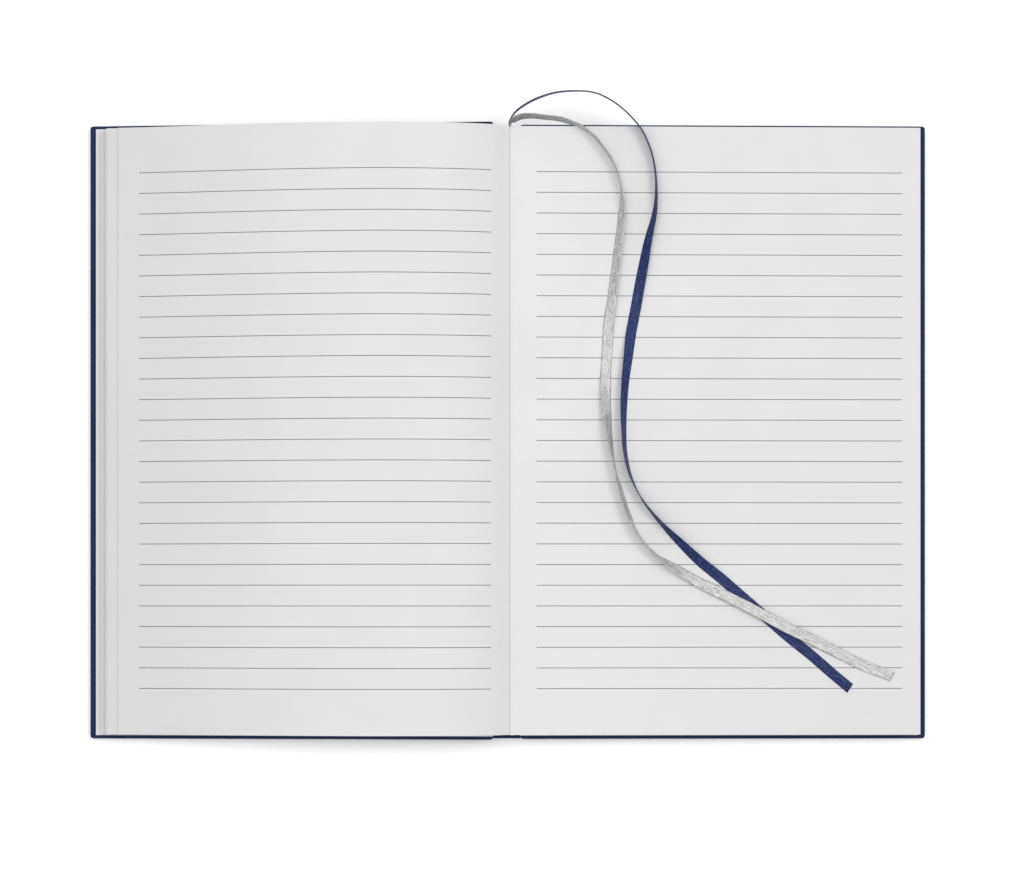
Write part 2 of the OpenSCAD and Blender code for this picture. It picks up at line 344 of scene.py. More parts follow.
def paperMaterial(name, ruledFrom=None, ruledTo=None, tint=1.0, paintedShading=()):
    # the stretches (from x, to x, tone at from, tone at to) scale the paper's colour along x: painted
    # light and shade of the page's slopes and of the fold
    values = paperValues
    material, tree, link, shader, place = startMaterial(name, values["specular"])
    grain = useGroup(tree, grainGroup, place.outputs["Object"],
                     {"Grain scale": values["grain"], "Mottle scale": values["mottle"]})
    light, dark = (tuple(c * tint for c in values[key]) for key in ("light", "dark"))
    mottle = spreadValue(tree, grain.outputs["Mottle"], (0.0, 1.0), midRange)
    colour = blendColours(tree, mottle, light, dark)
    fibre = spreadValue(tree, grain.outputs["Height"], (0.0, values["fibre"]), midRange)
    colour = blendColours(tree, fibre, colour, tuple(c * values["fibreTone"] for c in dark))
    if ruledFrom is not None:
        middle, half = (ruledFrom + ruledTo) / 2, (ruledTo - ruledFrom) / 2
        lines = useGroup(tree, rulingGroup, place.outputs["Object"],
                         {"Middle x": middle, "Half length": half})
        colour = blendColours(tree, lines.outputs["Mask"], colour, values["ink"])
    split = addNode(tree, "ShaderNodeSeparateXYZ")
    link(place.outputs["Object"], split.inputs[0])
    # painted light and shade: over each stretch the paper's colour is scaled along x
    for start, end, toneStart, toneEnd in paintedShading:
        tone = addNode(tree, "ShaderNodeMapRange", {"From Min": start, "From Max": end,
                                                    "To Min": toneStart, "To Max": toneEnd})
        tone.interpolation_type = "SMOOTHSTEP"
        link(split.outputs["X"], tone.inputs["Value"])
        shadedColour = addNode(tree, "ShaderNodeVectorMath", operation="SCALE")
        link(colour, shadedColour.inputs[0])
        link(tone.outputs["Result"], shadedColour.inputs["Scale"])
        colour = shadedColour.outputs[0]
    link(colour, shader.inputs["Base Color"])
    rough = spreadValue(tree, grain.outputs["Mottle"], values["roughness"])
    link(rough, shader.inputs["Roughness"])
    addBump(tree, shader, grain.outputs["Height"], values["relief"])
    return material


# the crease colour is painted shade for the creases between the pebbles; worn is the rubbed and faded
# colour
coverValues = dict(navy=(0.005, 0.014, 0.062), crease=(0.003, 0.009, 0.045),
                   worn=(0.030, 0.046, 0.125), specular=0.16, roughness=(0.44, 0.58), pebble=1700.0,
                   grain=5200.0, mottle=30.0, creaseShade=0.75, faded=0.22, rubbed=0.55, relief=0.04 * mm,
                   bump=0.7)


def coverMaterial():
    values = coverValues
    material, tree, link, shader, place = startMaterial("navyCover", values["specular"])
    spot = place.outputs["Object"]
    hide = useGroup(tree, hideGroup, spot, {"Pebble scale": values["pebble"]})
    grain = useGroup(tree, grainGroup, spot,
                     {"Grain scale": values["grain"], "Mottle scale": values["mottle"]})
    wear = useGroup(tree, wearGroup, spot)
    # painted shade: the cover is darkened in the creases between the pebbles
    creaseShade = spreadValue(tree, hide.outputs["Crease"], (0.0, values["creaseShade"]))
    colour = blendColours(tree, creaseShade, values["navy"], values["crease"])
    faded = spreadValue(tree, grain.outputs["Mottle"], (0.0, values["faded"]), (0.4, 0.7))
    colour = blendColours(tree, faded, colour, values["worn"])
    rubbed = spreadValue(tree, wear.outputs["Mask"], (0.0, values["rubbed"]))
    colour = blendColours(tree, rubbed, colour, values["worn"])
    link(colour, shader.inputs["Base Color"])
    rough = spreadValue(tree, grain.outputs["Mottle"], values["roughness"])
    link(rough, shader.inputs["Roughness"])
    addBump(tree, shader, hide.outputs["Height"], values["relief"], values["bump"])
    return material


# low is the satin's own dark colour and high the colour of its painted highlights; the weave's
# streaks mix thread tone with painted sheen, its glints are painted on single thread cells, and gap
# sets how far painted shade darkens the hollows between thread crowns
ribbonFinishes = dict(
    blue=dict(low=(0.004, 0.011, 0.066), high=(0.062, 0.102, 0.280), gap=0.6, roughness=0.42,
              sheen=0.02, specular=0.2, metal=0.0, streaksAndSheen=(0.42, 0.84), paintedGlint=0.36,
              relief=0.04 * mm, across=16, along=5.5),
    silver=dict(low=(0.27, 0.27, 0.27), high=(0.72, 0.72, 0.717), gap=0.25, roughness=0.40,
                sheen=0.0, specular=0.35, metal=0.45, streaksAndSheen=(0.33, 0.66), paintedGlint=0.26,
                relief=0.04 * mm, across=16, along=4.5))
satinValues = dict(anisotropy=0.5, sheenRoughness=0.35, smoother=0.08, rougher=0.2, bump=0.8)


def ribbonMaterial(name, finish):
    material, tree, link, shader, place = startMaterial(name, finish["specular"])
    weave = useGroup(tree, weaveGroup, place.outputs["UV"],
                     {"Threads across": finish["across"], "Threads along": finish["along"]})
    # painted sheen mixed with thread tone: streaks along the ribbon blend towards the highlight
    # colour
    streaksAndSheen = spreadValue(tree, weave.outputs["Shade"], (0.0, 1.0), finish["streaksAndSheen"])
    size = finish["paintedGlint"]
    # painted glints: each thread cell is pushed lighter or darker at random
    paintedGlint = spreadValue(tree, weave.outputs["Glint"], (-size, size), (0.15, 0.9))
    tone = mathNode(tree, "ADD", streaksAndSheen, paintedGlint, clamp=True)
    colour = blendColours(tree, tone, finish["low"], finish["high"])
    # painted shade: the colour darkens towards half the dark colour in the hollows between thread
    # crowns
    gap = spreadValue(tree, weave.outputs["Height"], (finish["gap"], 0.0), (0.0, 0.6))
    colour = blendColours(tree, gap, colour, tuple(c * 0.5 for c in finish["low"]))
    link(colour, shader.inputs["Base Color"])
    rough = spreadValue(tree, weave.outputs["Glint"], (finish["roughness"] - satinValues["smoother"],
                                                       finish["roughness"] + satinValues["rougher"]))
    link(rough, shader.inputs["Roughness"])
    shader.inputs["Sheen Weight"].default_value = finish["sheen"]
    shader.inputs["Sheen Roughness"].default_value = satinValues["sheenRoughness"]
    shader.inputs["Metallic"].default_value = finish["metal"]
    shader.inputs["Anisotropic"].default_value = satinValues["anisotropy"]
    addBump(tree, shader, weave.outputs["Height"], finish["relief"], satinValues["bump"])
    return material


fibreFinishes = dict(
    greyCard=dict(light=(0.42, 0.40, 0.37), dark=(0.30, 0.29, 0.27), grain=900.0, roughness=0.85),
    linenCloth=dict(light=(0.70, 0.66, 0.57), dark=(0.55, 0.52, 0.45), grain=2600.0, roughness=0.8),
    cottonThread=dict(light=(0.84, 0.84, 0.82), dark=(0.62, 0.62, 0.60), grain=4200.0, roughness=0.7))
fibreValues = dict(specular=0.2, uneven=0.06, relief=0.06 * mm)


def fibreMaterial(name):
    finish = fibreFinishes[name]
    material, tree, link, shader, place = startMaterial(name, fibreValues["specular"])
    grain = useGroup(tree, grainGroup, place.outputs["Object"],
                     {"Grain scale": finish["grain"], "Mottle scale": finish["grain"] / 12})
    fibre = spreadValue(tree, grain.outputs["Height"], (0.0, 1.0), midRange)
    colour = blendColours(tree, fibre, finish["light"], finish["dark"])
    link(colour, shader.inputs["Base Color"])
    rough = spreadValue(tree, grain.outputs["Mottle"], (finish["roughness"] - fibreValues["uneven"],
                                                        finish["roughness"] + fibreValues["uneven"]))
    link(rough, shader.inputs["Roughness"])
    addBump(tree, shader, grain.outputs["Height"], fibreValues["relief"])
    return material


# painted shade darkens the left page towards its fore-edge and towards the fold; painted light
# brightens the right page near the fold, and painted shade dims it towards its fore-edge
leftPageValues = dict(ruledFrom=-124.85 * mm, ruledTo=-5.3 * mm,
                      paintedShading=((-132 * mm, -45 * mm, 0.915, 1.0), (-24 * mm, 0, 1.0, 0.94)))
rightPageValues = dict(ruledFrom=10.05 * mm, ruledTo=134.3 * mm,
                       paintedShading=((0, 125 * mm, 1.03, 0.985),))
leftPaper = paperMaterial("leftPaper", **leftPageValues)
rightPaper = paperMaterial("rightPaper", **rightPageValues)
endPaper = paperMaterial("endPaper", tint=0.97)
navyCover = coverMaterial()
blueSatin = ribbonMaterial("blueSatin", ribbonFinishes["blue"])
silverSatin = ribbonMaterial("silverSatin", ribbonFinishes["silver"])
greyCard, linenCloth, cottonThread = (fibreMaterial(name) for name in fibreFinishes)
print("materials made")


pageValues = dict(gutterX=0.9, rightAtGutter=10.122, rightSlope=0.9915)


def pagePlane(x):
    return pageValues["rightAtGutter"] - (x - pageValues["gutterX"]) * math.tan(
        math.radians(pageValues["rightSlope"]))


# x, y and height over the right-hand page in millimetres, then the roll in degrees:
# 0 lies flat and 90 stands on its edge. The first two points are tucked into the fold.
blueRoute = [
    (0.8, 101, -3.6, 90), (0.8, 103.2, -2, 92),
    (1, 104.9, -0.6, 93), (3, 107.5, 0.8, 93), (6.5, 109.8, 2, 93), (10.5, 111.5, 3.2, 94),
    (16, 113, 4.2, 97), (22.5, 113.5, 4.8, 100), (29.5, 113, 4.6, 101), (35.5, 110.5, 3.8, 100),
    (41, 106.5, 2.6, 99), (45.5, 101.5, 1.4, 97), (48.5, 95, 0.8, 94), (50, 88.5, 0.6, 90),
    (50.5, 81.5, 0.55, 83), (50, 73.5, 0.55, 67), (48, 65, 0.55, 46), (46.5, 57, 0.55, 28),
    (45, 49, 0.55, 14), (43.5, 40.5, 0.55, 2), (42, 32.5, 0.55, -6), (41, 24.5, 0.55, -26),
    (40, 16.5, 0.55, -39), (39.5, 8, 0.55, -48), (39.5, 0, 0.55, -58), (40, -8, 0.55, -65),
    (42, -16, 0.55, -74), (46, -24, 0.55, -90), (52, -31.5, 0.55, -106), (58.5, -38, 0.55, -132),
    (65.5, -44.5, 0.55, -158), (73, -50.5, 0.55, -174), (80.5, -57, 0.55, -178),
    (88, -63.5, 0.55, -180), (95.5, -70, 0.55, -180), (103, -76, 0.55, -180),
    (110.5, -82.5, 0.55, -180), (116.5, -87.5, 0.55, -180)]
silverRoute = [
    (1.1, 101, -4.4, 90), (1.15, 103.2, -3.2, 84),
    (1.5, 104.9, -1.9, 74), (4.5, 106.3, -1, 70), (8.5, 106.4, 0, 74), (13, 105.8, 0.7, 77),
    (18.5, 105, 1, 77), (24, 103, 1, 82), (29, 99.5, 0.8, 86), (33, 95, 0.6, 90),
    (36.5, 89.5, 0.55, 95), (38.5, 83, 0.55, 91), (39, 76, 0.55, 62), (38.5, 68.5, 0.55, 46),
    (37.5, 60.5, 0.55, 42), (36.5, 52, 0.55, 38), (35.5, 44, 0.55, 28), (34.5, 36, 0.55, 12),
    (34, 28, 0.55, 2), (33.5, 19.5, 0.55, -2), (33.5, 11.5, 0.55, -22), (34, 3.5, 0.55, -38),
    (35, -4.5, 0.55, -60), (36.5, -13, 0.55, -80), (38.5, -20.5, 0.55, -64),
    (41, -28.5, 0.55, -60), (44.5, -35.5, 0.55, -80), (50, -42, 0.6, -74), (57.5, -47, 0.7, -38),
    (65, -51.5, 0.9, -14), (73, -55.5, 1.3, -4), (81, -59.5, 1.6, 0), (88.5, -63.5, 1.7, 0),
    (96, -67.5, 1.6, 0), (103.5, -71, 1.2, 0), (111.5, -75, 0.8, 0), (120.5, -79.5, 0.6, 0),
    (131, -83.5, 0.55, 0)]
# in millimetres; past x and under y of pageFrom a ribbon lies on the page, and settles on to it
ribbonValues = dict(width=3.5, thickness=0.22, rim=0.35, selvedge=0.06, selvedgeAt=(0.72, 0.98),
                    cup=0.08, cut=0.2, steps=9, across=10, pageFrom=(3, 103), settle=0.38, easing=6,
                    creaseAt=0.15, creaseTurns=(0.42, 0.11))


def ribbonPiece(name, route, creases):
    values = ribbonValues
    half = values["width"] / 2
    centres, rolls = [], []
    for x, y, height, roll in smoothLine(route, values["steps"]):
        standing = half * abs(math.sin(math.radians(roll))) + values["thickness"] / 2
        lies = x > values["pageFrom"][0] and y < values["pageFrom"][1]
        lift = max(height - values["settle"], standing) if lies else height
        centres.append(Vector((x, y, pagePlane(x) + lift)))
        rolls.append(math.radians(roll))
    for turn in range(values["easing"]):  # the change of height is eased out along the ribbon
        heights = [c.z for c in centres]
        for i in range(1, len(centres) - 1):
            eased = (heights[i - 1] + 2 * heights[i] + heights[i + 1]) / 4
            centres[i].z = max(eased, heights[i]) if turn == values["easing"] - 1 else eased
    points, uvs, run = [], [], 0.0
    last = len(centres) - 1
    count = values["across"]
    inner, outer = values["selvedgeAt"]
    often, seldom = values["creaseTurns"]
    for i, centre in enumerate(centres):
        tangent = (centres[min(i + 1, last)] - centres[max(i - 1, 0)]).normalized()
        side = Vector((0, 0, 1)).cross(tangent).normalized()
        up = tangent.cross(side)
        wide = side * math.cos(rolls[i]) + up * math.sin(rolls[i])
        thin = tangent.cross(wide)
        if i:
            run += (centre - centres[i - 1]).length
        crease = creases * math.sin(run * often) * math.sin(run * seldom + 1)
        for face in (1, -1):
            for k in range(count + 1):
                u = (2 * k / count - 1) * face
                full = math.sqrt(min(1.0, (1 - abs(u)) * 7))
                depth = values["thickness"] / 2 * (values["rim"] + (1 - values["rim"]) * full)
                if inner < abs(u) < outer:
                    depth += values["selvedge"] / 2
                sag = values["cup"] * (u * u - 0.4) + crease * (abs(u - values["creaseAt"]) - 0.5)
                slant = tangent * values["cut"] * u * (1 if i == last else 0)
                points.append(centre + wide * half * u + thin * (face * depth + sag) + slant)
                uvs.append(((u + 1) / 2, run / values["width"]))
    ring = 2 * (count + 1)
    faces = []
    for i in range(last):
        for k in range(ring):
            a, b = i * ring + k, i * ring + (k + 1) % ring
            faces.append((a, b, b + ring, a + ring))
    faces.append(tuple(reversed(range(ring))))
    faces.append(tuple(range(last * ring, (last + 1) * ring)))
    piece = addMesh(name, [p * mm for p in points], faces)
    layer = piece.data.uv_layers.new(name="UVMap")
    for loop in piece.data.loops:
        layer.data[loop.index].uv = uvs[loop.vertex_index]
    fixNormals(piece)
    piece["lineLength"] = run * mm
    return piece, [c * mm for c in centres]


def fixNormals(piece):
    work = bmesh.new()
    work.from_mesh(piece.data)
    bmesh.ops.recalc_face_normals(work, faces=work.faces)
    work.to_mesh(piece.data)
    work.free()


for name, node, slot, route, material, creases in (
        ("ribbonBlue", "ribbon_blue", "ribbon_navy", blueRoute, blueSatin, 0.04),
        ("ribbonSilver", "ribbon_silver", "ribbon_silver", silverRoute, silverSatin, 0.16)):
    ribbon, line = ribbonPiece(name, route, creases)
    ribbon.data.materials.append(material)
    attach(ribbon, "back_half")
    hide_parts(node)
    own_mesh(ribbon)
    print(name, "is", round(ribbon["lineLength"], 4), "m long")


def makeLeafTree():
    # copies one sheet, spreads the copies by the sheet's own "spread", and gives each its thickness
    tree = bpy.data.node_groups.new("leafStack", "GeometryNodeTree")
    addSockets(tree, [("Geometry", "Geometry"), ("Sheets", "Int", 4),
                      ("Leaf thickness", "Float", 0.1 * mm), ("Fore-edge scatter", "Float", 0.2 * mm),
                      ("Head scatter", "Float", 0.06 * mm), ("Seed", "Int", 1),
                      ("Material", "Material")], [("Geometry", "Geometry")])
    link = tree.links.new
    given, result = addNode(tree, "NodeGroupInput"), addNode(tree, "NodeGroupOutput")
    row = addNode(tree, "GeometryNodeMeshLine", {"Offset": (0, 0, 0)})
    link(given.outputs["Sheets"], row.inputs["Count"])
    number = addNode(tree, "GeometryNodeStoreNamedAttribute", {"Name": "leaf"}, data_type="INT",
                     domain="POINT")
    link(row.outputs[0], number.inputs["Geometry"])
    link(addNode(tree, "GeometryNodeInputIndex").outputs[0], number.inputs["Value"])
    copies = addNode(tree, "GeometryNodeInstanceOnPoints")
    link(number.outputs[0], copies.inputs["Points"])
    link(given.outputs["Geometry"], copies.inputs["Instance"])
    real = addNode(tree, "GeometryNodeRealizeInstances")
    link(copies.outputs[0], real.inputs[0])
    leaf, spread, fore = (
        addNode(tree, "GeometryNodeInputNamedAttribute", {"Name": name}, data_type=kind)
        for name, kind in (("leaf", "INT"), ("spread", "FLOAT_VECTOR"), ("fore", "FLOAT")))
    place = mathNode(tree, "ADD", leaf.outputs[0], 0.5)
    share = mathNode(tree, "DIVIDE", place, given.outputs["Sheets"])
    fan = addNode(tree, "ShaderNodeVectorMath", operation="SCALE")
    link(spread.outputs[0], fan.inputs[0])
    link(share, fan.inputs["Scale"])

    def scatter(amount, extra):
        random = addNode(tree, "FunctionNodeRandomValue", {2: -1.0, 3: 1.0}, data_type="FLOAT")
        link(leaf.outputs[0], random.inputs["ID"])
        link(mathNode(tree, "ADD", given.outputs["Seed"], extra), random.inputs["Seed"])
        return mathNode(tree, "MULTIPLY", random.outputs[1], given.outputs[amount])

    shift = addNode(tree, "ShaderNodeCombineXYZ")
    ragged = mathNode(tree, "MULTIPLY", scatter("Fore-edge scatter", 0), fore.outputs[0])
    link(ragged, shift.inputs["X"])
    link(scatter("Head scatter", 17), shift.inputs["Y"])
    total = addNode(tree, "ShaderNodeVectorMath", operation="ADD")
    link(fan.outputs[0], total.inputs[0])
    link(shift.outputs[0], total.inputs[1])
    moved = addNode(tree, "GeometryNodeSetPosition")
    link(real.outputs[0], moved.inputs["Geometry"])
    link(total.outputs[0], moved.inputs["Offset"])
    thick = addNode(tree, "GeometryNodeExtrudeMesh", {"Individual": False})
    link(moved.outputs[0], thick.inputs["Mesh"])
    link(given.outputs["Leaf thickness"], thick.inputs["Offset Scale"])
    under = addNode(tree, "GeometryNodeFlipFaces")
    link(moved.outputs[0], under.inputs[0])
    both = addNode(tree, "GeometryNodeJoinGeometry")
    link(under.outputs[0], both.inputs[0])
    smooth = addNode(tree, "GeometryNodeSetShadeSmooth", {"Shade Smooth": False})
    link(thick.outputs["Mesh"], smooth.inputs["Geometry"])
    link(thick.outputs["Side"], smooth.inputs["Selection"])
    link(smooth.outputs[0], both.inputs[0])
    closed = addNode(tree, "GeometryNodeMergeByDistance", {"Distance": 0.002 * mm})
    link(both.outputs[0], closed.inputs[0])
    whole = addNode(tree, "GeometryNodeRealizeInstances")
    link(closed.outputs[0], whole.inputs[0])
    dressed = addNode(tree, "GeometryNodeSetMaterial")
    link(whole.outputs[0], dressed.inputs["Geometry"])
    link(given.outputs["Material"], dressed.inputs["Material"])
    link(dressed.outputs[0], result.inputs[0])
    return tree


leafTree = makeLeafTree()
leafValues = dict(thickness=0.086 * mm, scatterFore=0.28 * mm, scatterHead=0.08 * mm, rows=8,
                  stations=44, crowding=1.35, foldReach=0.34 * mm, foldSteps=8, tailTrim=-0.15 * mm,
                  headTrim=0.04 * mm, backGutter=0.885 * mm, frontGutter=0.86 * mm)


def profileOf(node):
    # stations along a node's section: x from the gutter outwards, low height, high height
    heights = {}
    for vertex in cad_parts[node].data.vertices:
        key = round(vertex.co.x / mm, 3)
        heights.setdefault(key, []).append(vertex.co.z)
    stations = [(x * mm, min(z), max(z)) for x, z in heights.items() if max(z) - min(z) > 0.01 * mm]
    return sorted(stations, key=lambda s: abs(s[0] - pageValues["gutterX"] * mm))


def evenStations(profile, count, gutterEnd, foreShift):
    # the section again, resampled so that it is closest together near the fold
    line = smoothLine(profile, 6)
    start, end = line[0][0], line[-1][0]
    outward = 1 if end > start else -1
    if gutterEnd is not None:
        line.insert(0, [gutterEnd, line[0][1], line[0][2]])
        start = gutterEnd
    end += outward * foreShift
    if foreShift > 0:
        inner = line[-8]
        stretch = (end - line[-1][0]) / (line[-1][0] - inner[0])
        line.append([a + (a - b) * stretch for a, b in zip(line[-1], inner)])
    found = []
    for i in range(count + 1):
        x = start + (end - start) * (i / count) ** leafValues["crowding"]
        for a, b in zip(line, line[1:]):
            if min(a[0], b[0]) - 1e-9 <= x <= max(a[0], b[0]) + 1e-9:
                t = 0 if a[0] == b[0] else (x - a[0]) / (b[0] - a[0])
                found.append((x, a[1] + (b[1] - a[1]) * t, a[2] + (b[2] - a[2]) * t))
                break
    return found


# how much longer (or shorter) the leaves at the open page are, in millimetres
foreShifts = {"leaf_1": -1.0, "leaf_2": -0.95, "leaf_3": -0.9,
              "signature_05": 2.9, "signature_06_front": 2.7}


def leafPiece(name, node, body, material, slot, sheets, folded, seed):
    values = leafValues
    gutterEnd = values["backGutter" if body == "back_half" else "frontGutter"]
    stations = evenStations(profileOf(node), values["stations"], None if folded else gutterEnd,
                            foreShifts.get(node, 0) * mm)
    inner = stations[0][0]
    outward = 1 if stations[-1][0] > inner else -1
    thickness = values["thickness"]
    low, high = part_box(node)
    width = abs(stations[-1][0] - inner)
    section = []  # x, z, spread in x, spread in z, distance towards the fore-edge
    if folded:
        start = inner + outward * values["foldReach"]
        outer = [s for s in stations if abs(s[0] - inner) > values["foldReach"]]
        foldX, foldLow, foldHigh = outer[0]
        for x, bottom, top in reversed(outer):
            section.append((x, (bottom + top) / 2, 0, -(top - bottom - 2 * thickness) / 2,
                            abs(x - start) / width))
        deep = abs(foldX - inner - outward * thickness)
        tall = (foldHigh - foldLow - 2 * thickness) / 2
        for k in range(1, values["foldSteps"]):
            turn = -math.pi / 2 + math.pi * k / values["foldSteps"]
            section.append((foldX, (foldLow + foldHigh) / 2,
                            -outward * deep * math.cos(turn), tall * math.sin(turn), 0))
        section += [(x, z, spreadX, -spreadZ, far) for x, z, spreadX, spreadZ, far in
                    reversed(section[:len(outer)])]
    else:
        for x, bottom, top in stations:
            z = bottom - thickness / 2 if sheets > 1 else (bottom + top - thickness) / 2
            section.append((x, z, 0, top - bottom if sheets > 1 else 0, abs(x - inner) / width))
    tail, head = low.y + values["tailTrim"], high.y - values["headTrim"]
    rows = [tail + (head - tail) * j / values["rows"] for j in range(values["rows"] + 1)]
    points, spreads, fores, faces = [], [], [], []
    for x, z, spreadX, spreadZ, far in section:
        for y in rows:
            points.append((x, y, z))
            spreads += [spreadX, 0.0, spreadZ]
            fores.append(far ** 2)
    across = len(rows)
    for i in range(len(section) - 1):
        for j in range(across - 1):
            a = i * across + j
            faces.append((a, a + across, a + across + 1, a + 1))
    piece = addMesh(name, points, faces)
    if folded == (outward > 0):
        piece.data.flip_normals()
    attribute = piece.data.attributes.new("spread", "FLOAT_VECTOR", "POINT")
    attribute.data.foreach_set("vector", spreads)
    attribute = piece.data.attributes.new("fore", "FLOAT", "POINT")
    attribute.data.foreach_set("value", fores)
    single = sheets == 1
    growPiece(piece, leafTree, {
        "Sheets": sheets, "Leaf thickness": thickness, "Seed": seed, "Material": material,
        "Fore-edge scatter": 0.0 if single else values["scatterFore"],
        "Head scatter": 0.0 if single else values["scatterHead"]})
    for extra in ("spread", "fore", "leaf"):
        if extra in piece.data.attributes:
            piece.data.attributes.remove(piece.data.attributes[extra])
    piece.data.set_sharp_from_angle(angle=math.radians(40))
    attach(piece, body)
    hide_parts(node)
    return piece


frontStack = [("frontFlyleaf", "front_flyleaf", "front_half", endPaper, "endpaper_white", 1, False)]
for i in range(1, 6):
    frontStack.append(("signature%02d" % i, "signature_%02d" % i, "front_half", leftPaper,
                       "paper_white", 4, True))
frontStack.append(("signature06Front", "signature_06_front", "front_half", leftPaper,
                   "paper_white", 1, False))
for i in (3, 2, 1):
    frontStack.append(("leaf%d" % i, "leaf_%d" % i, "leaf_%d" % i, leftPaper,
                       "paper_white", 1, False))
backStack = [("backFlyleaf", "back_flyleaf", "back_half", endPaper, "endpaper_white", 1, False)]
for i in range(12, 6, -1):
    backStack.append(("signature%02d" % i, "signature_%02d" % i, "back_half", rightPaper,
                      "paper_white", 4, True))
backStack.append(("signature06Back", "signature_06_back", "back_half", rightPaper,
                  "paper_white", 4, False))

# each front leaf gets a mesh of its own (on the real book they press flat against their board as the
# front half closes)
for seed, row in enumerate(frontStack):
    piece = leafPiece(*row, seed=seed * 5 + 3)
    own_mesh(piece)
for seed, row in enumerate(backStack):
    leafPiece(*row, seed=seed * 5 + 101)
print("leaves made")


boardValues = dict(width=138.7 * mm, height=210 * mm, thickness=2.1 * mm, wrap=0.24 * mm,
                   turnIn=15 * mm, round=0.55 * mm, corner=1.1 * mm, mitre=0.10 * mm)
frontPlace = dict(edge=-4.5 * mm, lift=6.35 * mm, width=138.5 * mm)
backPlace = dict(edge=4.4 * mm, lift=2.4 * mm, width=139.05 * mm)
spineValues = dict(width=13.4 * mm, height=210 * mm, thickness=1.5 * mm, wrap=0.24 * mm,
                   turnIn=5 * mm, round=0.35 * mm, corner=0.6 * mm, mitre=0.05 * mm)


def outlineAt(width, height, corner, inset):
    # a rounded rectangle from x = 0 to width, centred on y, drawn "inset" inside its outline
    radius = max(corner - inset, 0.05 * mm)
    near, far, up = inset + radius, width - inset - radius, height / 2 - inset - radius
    line = []
    for x, y, begin in ((far, up, 0), (near, up, 90), (near, -up, 180), (far, -up, 270)):
        for k in range(7):
            a = math.radians(begin + 15 * k)
            line.append((x + radius * math.cos(a), y + radius * math.sin(a), k == 3))
    return line


def coverShell(name, node, body, values, placing):
    # outline rings from the turn-in's inner edge, over the rounded edge, to the outer face
    top, bend = values["thickness"], values["round"]
    turnIn, flat = values["turnIn"], bend * 2.4
    rings = [(turnIn, top), (turnIn * 0.5, top), (flat, top)]
    for k in range(5):
        a = math.radians(90 - 22.5 * k)
        rings.append((bend - bend * math.cos(a), top - bend + bend * math.sin(a)))
    for k in range(5):
        a = math.radians(22.5 * k)
        rings.append((bend - bend * math.cos(a), bend - bend * math.sin(a)))
    rings += [(flat, 0), (turnIn * 0.5, 0), (turnIn, 0)]
    points, faces = [], []
    for number, (inset, z) in enumerate(rings):
        for x, y, onMitre in outlineAt(values["width"], values["height"], values["corner"], inset):
            sunk = values["mitre"] if onMitre and number < 4 else 0
            points.append((x, y, z - sunk))
    count = len(points) // len(rings)
    for i in range(len(rings) - 1):
        for k in range(count):
            a, b = i * count + k, i * count + (k + 1) % count
            faces.append((a, b, b + count, a + count))
    faces.append(tuple(range((len(rings) - 1) * count, len(rings) * count)))
    piece = addMesh(name, [placing @ Vector(p) for p in points], faces)
    fixNormals(piece)
    if piece.data.polygons[-1].normal.z > 0:  # the last face is the outer one, which faces down
        piece.data.flip_normals()
    wall = piece.modifiers.new("wall", "SOLIDIFY")
    wall.thickness = values["wrap"]
    wall.offset = -1
    wall.use_even_offset = False
    evaluated = piece.evaluated_get(bpy.context.evaluated_depsgraph_get())
    solid = bpy.data.meshes.new_from_object(evaluated)
    piece.modifiers.remove(wall)
    piece.data = solid
    piece.data.set_sharp_from_angle(angle=math.radians(50))
    piece.data.materials.append(navyCover)
    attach(piece, body)
    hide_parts(node)


def boardPlacing(place, side):
    slope = math.asin(place["lift"] / boardValues["width"])
    turn = Matrix.Rotation(slope * side, 4, "Y")
    mirror = Matrix.Scale(side, 4, Vector((1, 0, 0)))
    return Matrix.Translation((place["edge"], 0, place["lift"])) @ turn @ mirror


for name, node, body, place, side in (("frontCover", "front_cover", "front_half", frontPlace, -1),
                                      ("backCover", "back_cover", "back_half", backPlace, 1)):
    coverShell(name, node, body, dict(boardValues, width=place["width"]), boardPlacing(place, side))
coverShell("spineCover", "spine_cover", "spine", spineValues,
           Matrix.Translation((-spineValues["width"] / 2, 0, 0)))


# in millimetres; each path is the cloth's section, x and z, from the spine to its board
clothValues = dict(thickness=0.3, length=208.6, rows=60, wrinkle=0.06)
frontClothPath = [(-6.4, 0.3), (-6.95, 0.8), (-7.2, 2), (-6.9, 3.6), (-6, 5), (-5.3, 5.8),
                  (-4.7, 6.3)]
backClothPath = [(6.4, 0.3), (6.95, 0.55), (7.55, 0.95), (7.7, 1.35), (7.3, 1.8), (6.4, 2),
                 (4.9, 2.2)]


